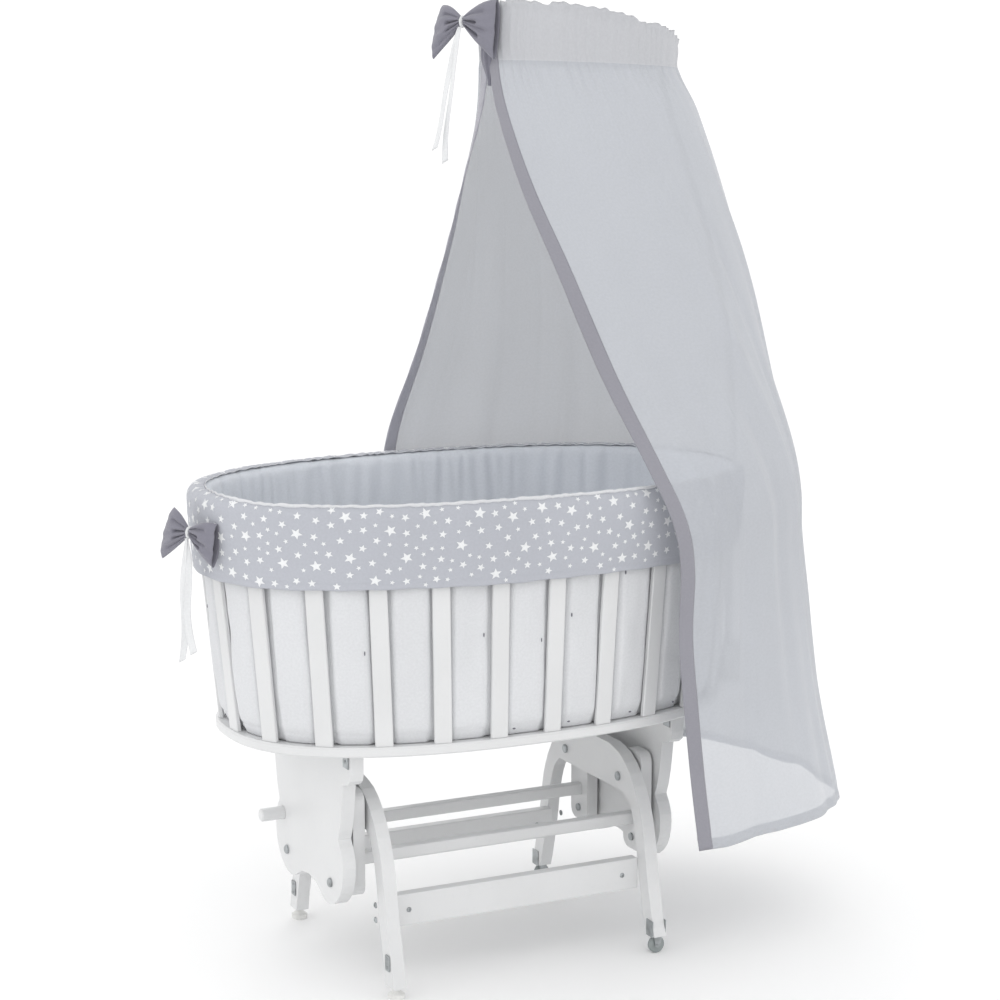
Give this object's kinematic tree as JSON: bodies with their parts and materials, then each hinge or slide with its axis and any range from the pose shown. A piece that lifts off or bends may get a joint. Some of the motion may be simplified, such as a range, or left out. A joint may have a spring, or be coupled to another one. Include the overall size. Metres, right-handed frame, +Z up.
{
  "type": "baby crib",
  "caption": "Oval slatted baby crib that glides sideways on links under two arch frames, with a mattress, a fabric liner, and a hooped canopy with a long drape.",
  "frame": {"origin": "floor level under the middle of the whole crib's outline, the canopy drape and bows included", "axes": "+X along the bed towards the canopy end, -Y the open front side, +Z up"},
  "size_m": [1.1999, 0.6235, 1.545],
  "materials": {
    "white_paint": "satin white paint",
    "zinc_steel": "zinc plated",
    "white_plastic": "matt",
    "grey_wheel": "matt",
    "star_fabric": "printed cotton",
    "white_cloth": "plain cotton",
    "grey_cloth": "plain cotton",
    "sheer_cloth": "sheer voile"
  },
  "bodies": {
    "stand": {"arch_frame_left": "white_paint", "arch_frame_right": "white_paint", "castor_bracket_front": "zinc_steel", "castor_bracket_rear": "zinc_steel", "glide_front": "white_plastic", "glide_rear": "white_plastic", "low_rail_front": "white_paint", "low_rail_rear": "white_paint", "upper_pivot_bolt_left_front": "zinc_steel", "upper_pivot_bolt_left_rear": "zinc_steel", "upper_pivot_bolt_right_front": "zinc_steel", "upper_pivot_bolt_right_rear": "zinc_steel"},
    "front_swing": {"swing_link_left_front": "white_paint", "swing_link_right_front": "white_paint", "swing_rod_front": "white_paint"},
    "rear_swing": {"swing_link_left_rear": "white_paint", "swing_link_right_rear": "white_paint", "swing_rod_rear": "white_paint"},
    "basket": {"base_plate": "white_paint", "bed_liner": "star_fabric", "bow_basket": "grey_cloth", "bow_canopy": "grey_cloth", "canopy_clamp": "zinc_steel", "canopy_drape": "sheer_cloth", "canopy_pole": "zinc_steel", "hanger_panel_left": "white_paint", "hanger_panel_right": "white_paint", "lower_pivot_bolt_left_front": "zinc_steel", "lower_pivot_bolt_left_rear": "zinc_steel", "lower_pivot_bolt_right_front": "zinc_steel", "lower_pivot_bolt_right_rear": "zinc_steel", "mattress": "white_cloth", "rim_ring": "white_paint", "slat_01": "white_paint", "slat_02": "white_paint", "slat_03": "white_paint", "slat_04": "white_paint", "slat_05": "white_paint", "slat_06": "white_paint", "slat_07": "white_paint", "slat_08": "white_paint", "slat_09": "white_paint", "slat_10": "white_paint", "slat_11": "white_paint", "slat_12": "white_paint", "slat_13": "white_paint", "slat_14": "white_paint", "slat_15": "white_paint", "slat_16": "white_paint", "slat_17": "white_paint", "slat_18": "white_paint", "slat_19": "white_paint", "slat_20": "white_paint", "slat_21": "white_paint", "slat_22": "white_paint", "slat_23": "white_paint", "slat_24": "white_paint"},
    "peg": {"lock_peg": "white_paint"},
    "front_wheel": {"castor_wheel_front": "grey_wheel"},
    "rear_wheel": {"castor_wheel_rear": "grey_wheel"}
  },
  "joints": [
    {"name": "front_swing", "type": "hinge", "parent": "stand", "child": "front_swing", "pos_m": [-0.06637, -0.0948, 0.2727], "axis": [1, 0, 0], "range_deg": [-15, 15]},
    {"name": "basket_level", "type": "hinge", "parent": "front_swing", "child": "basket", "pos_m": [-0.06637, -0.0948, 0.1639], "axis": [1, 0, 0], "range_deg": [-15, 15]},
    {"name": "rear_swing", "type": "hinge", "parent": "stand", "child": "rear_swing", "pos_m": [-0.06637, 0.0948, 0.2727], "axis": [1, 0, 0], "range_deg": [-15, 15]},
    {"name": "peg_pull", "type": "slide", "parent": "basket", "child": "peg", "axis": [-1, 0, 0], "range_m": [0, 0.012]},
    {"name": "front_wheel_roll", "type": "hinge", "parent": "stand", "child": "front_wheel", "pos_m": [0.16713, -0.208, 0.014], "axis": [0, 1, 0], "continuous": true},
    {"name": "rear_wheel_roll", "type": "hinge", "parent": "stand", "child": "rear_wheel", "pos_m": [0.16713, 0.208, 0.014], "axis": [0, 1, 0], "continuous": true}
  ],
  "couplings": [
    {"joint": "basket_level", "follows": "front_swing", "ratio": -1},
    {"joint": "rear_swing", "follows": "front_swing", "ratio": 1}
  ]
}
